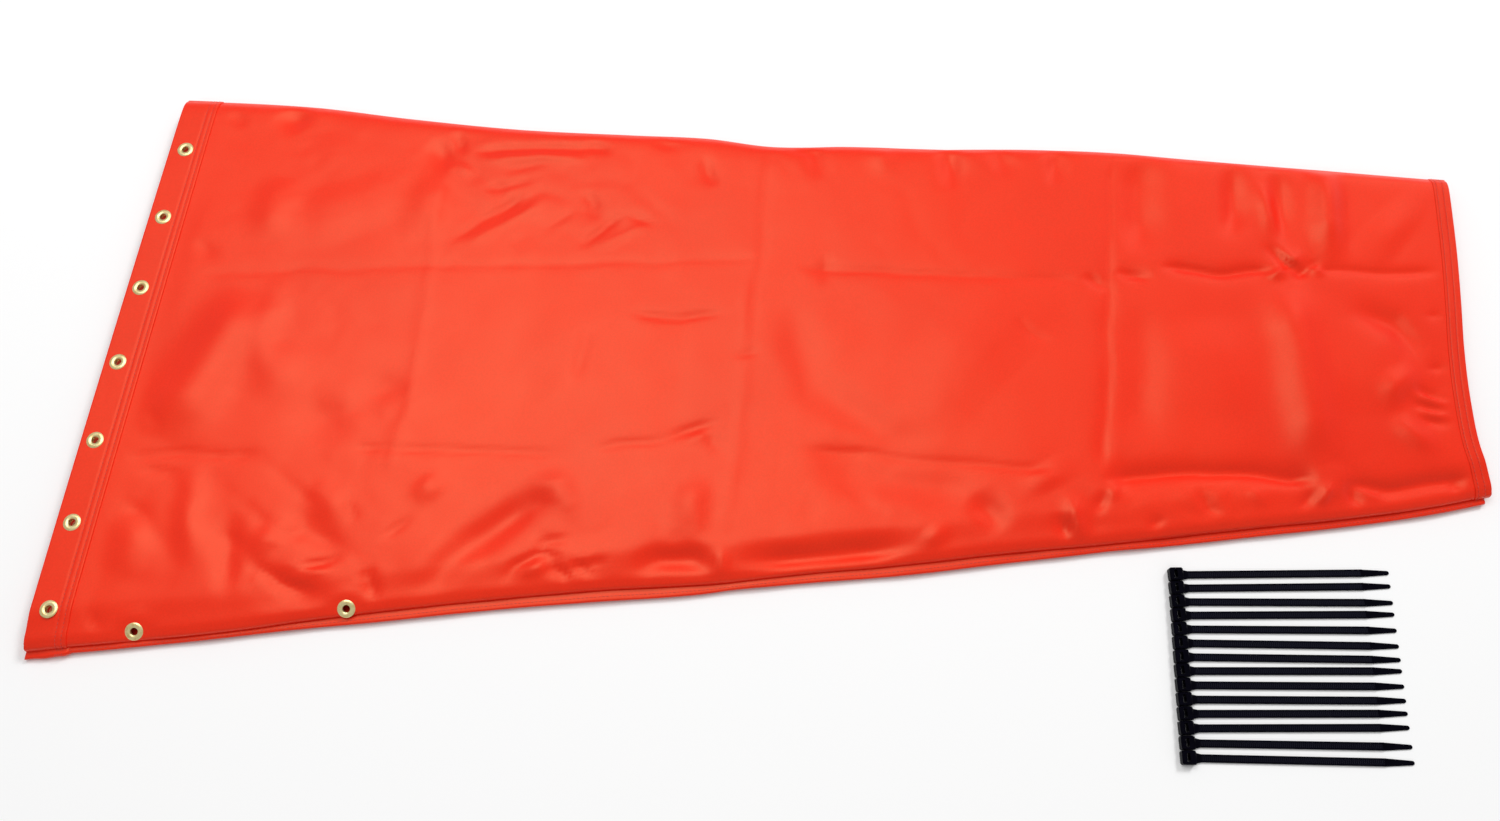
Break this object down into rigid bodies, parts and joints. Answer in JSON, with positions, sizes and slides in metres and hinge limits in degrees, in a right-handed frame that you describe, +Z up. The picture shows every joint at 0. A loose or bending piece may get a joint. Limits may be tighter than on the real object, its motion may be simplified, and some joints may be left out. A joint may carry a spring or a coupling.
{
  "type": "windsock",
  "caption": "Orange tapered windsock sleeve laid flat, with brass throat eyelets, hems and a side seam, beside its set of black cable ties.",
  "frame": {"origin": "on the ground, on the axis of the middle throat eyelet", "axes": "+X along the sleeve from throat to tail, +Y towards its plain folded edge, +Z up from the ground"},
  "size_m": [0.9477, 0.4784, 0.0134],
  "materials": {
    "sleeve_cloth": "smooth coated cloth, satin",
    "band_cloth": "smooth coated cloth, double stitched, satin",
    "hem_cloth": "smooth coated cloth, rolled and stitched, satin",
    "thread": "bonded sewing thread",
    "brass": "bright rolled brass",
    "brass_washer": "pressed brass",
    "black_nylon": "moulded nylon, semi-matt"
  },
  "bodies": {
    "throat_half": {"body_eyelet_1": "brass", "body_eyelet_2": "brass", "body_washer_1": "brass_washer", "body_washer_2": "brass_washer", "lower_eyelet_1": "brass", "lower_eyelet_2": "brass", "lower_eyelet_3": "brass", "lower_eyelet_4": "brass", "lower_eyelet_5": "brass", "lower_eyelet_6": "brass", "lower_eyelet_7": "brass", "lower_washer_1": "brass_washer", "lower_washer_2": "brass_washer", "lower_washer_3": "brass_washer", "lower_washer_4": "brass_washer", "lower_washer_5": "brass_washer", "lower_washer_6": "brass_washer", "lower_washer_7": "brass_washer", "side_seam_throat_half": "hem_cloth", "sleeve_throat_half": "sleeve_cloth", "throat_band": "band_cloth", "upper_eyelet_1": "brass", "upper_eyelet_2": "brass", "upper_eyelet_3": "brass", "upper_eyelet_4": "brass", "upper_eyelet_5": "brass", "upper_eyelet_6": "brass", "upper_eyelet_7": "brass", "upper_washer_1": "brass_washer", "upper_washer_2": "brass_washer", "upper_washer_3": "brass_washer", "upper_washer_4": "brass_washer", "upper_washer_5": "brass_washer", "upper_washer_6": "brass_washer", "upper_washer_7": "brass_washer"},
    "tail_half": {"sleeve_tail_half": "sleeve_cloth", "side_seam_tail_half": "hem_cloth", "tail_hem": "hem_cloth"},
    "tie_1": {"cable_tie_1": "black_nylon"},
    "tie_2": {"cable_tie_2": "black_nylon"},
    "tie_3": {"cable_tie_3": "black_nylon"},
    "tie_4": {"cable_tie_4": "black_nylon"},
    "tie_5": {"cable_tie_5": "black_nylon"},
    "tie_6": {"cable_tie_6": "black_nylon"},
    "tie_7": {"cable_tie_7": "black_nylon"},
    "tie_8": {"cable_tie_8": "black_nylon"},
    "tie_9": {"cable_tie_9": "black_nylon"},
    "tie_10": {"cable_tie_10": "black_nylon"},
    "tie_11": {"cable_tie_11": "black_nylon"},
    "tie_12": {"cable_tie_12": "black_nylon"},
    "tie_13": {"cable_tie_13": "black_nylon"},
    "tie_14": {"cable_tie_14": "black_nylon"}
  },
  "joints": [
    {"name": "half_fold", "type": "hinge", "parent": "throat_half", "child": "tail_half", "pos_m": [0.41687, 0.00678, 0.0138], "axis": [-0.1045, -0.9945, 0], "range_deg": [0, 175]},
    {"name": "tie_1_lift", "type": "slide", "parent": "throat_half", "child": "tie_1", "axis": [0, 0, 1], "range_m": [0, 0.06]},
    {"name": "tie_2_lift", "type": "slide", "parent": "throat_half", "child": "tie_2", "axis": [0, 0, 1], "range_m": [0, 0.06]},
    {"name": "tie_3_lift", "type": "slide", "parent": "throat_half", "child": "tie_3", "axis": [0, 0, 1], "range_m": [0, 0.06]},
    {"name": "tie_4_lift", "type": "slide", "parent": "throat_half", "child": "tie_4", "axis": [0, 0, 1], "range_m": [0, 0.06]},
    {"name": "tie_5_lift", "type": "slide", "parent": "throat_half", "child": "tie_5", "axis": [0, 0, 1], "range_m": [0, 0.06]},
    {"name": "tie_6_lift", "type": "slide", "parent": "throat_half", "child": "tie_6", "axis": [0, 0, 1], "range_m": [0, 0.06]},
    {"name": "tie_7_lift", "type": "slide", "parent": "throat_half", "child": "tie_7", "axis": [0, 0, 1], "range_m": [0, 0.06]},
    {"name": "tie_8_lift", "type": "slide", "parent": "throat_half", "child": "tie_8", "axis": [0, 0, 1], "range_m": [0, 0.06]},
    {"name": "tie_9_lift", "type": "slide", "parent": "throat_half", "child": "tie_9", "axis": [0, 0, 1], "range_m": [0, 0.06]},
    {"name": "tie_10_lift", "type": "slide", "parent": "throat_half", "child": "tie_10", "axis": [0, 0, 1], "range_m": [0, 0.06]},
    {"name": "tie_11_lift", "type": "slide", "parent": "throat_half", "child": "tie_11", "axis": [0, 0, 1], "range_m": [0, 0.06]},
    {"name": "tie_12_lift", "type": "slide", "parent": "throat_half", "child": "tie_12", "axis": [0, 0, 1], "range_m": [0, 0.06]},
    {"name": "tie_13_lift", "type": "slide", "parent": "throat_half", "child": "tie_13", "axis": [0, 0, 1], "range_m": [0, 0.06]},
    {"name": "tie_14_lift", "type": "slide", "parent": "throat_half", "child": "tie_14", "axis": [0, 0, 1], "range_m": [0, 0.06]}
  ]
}
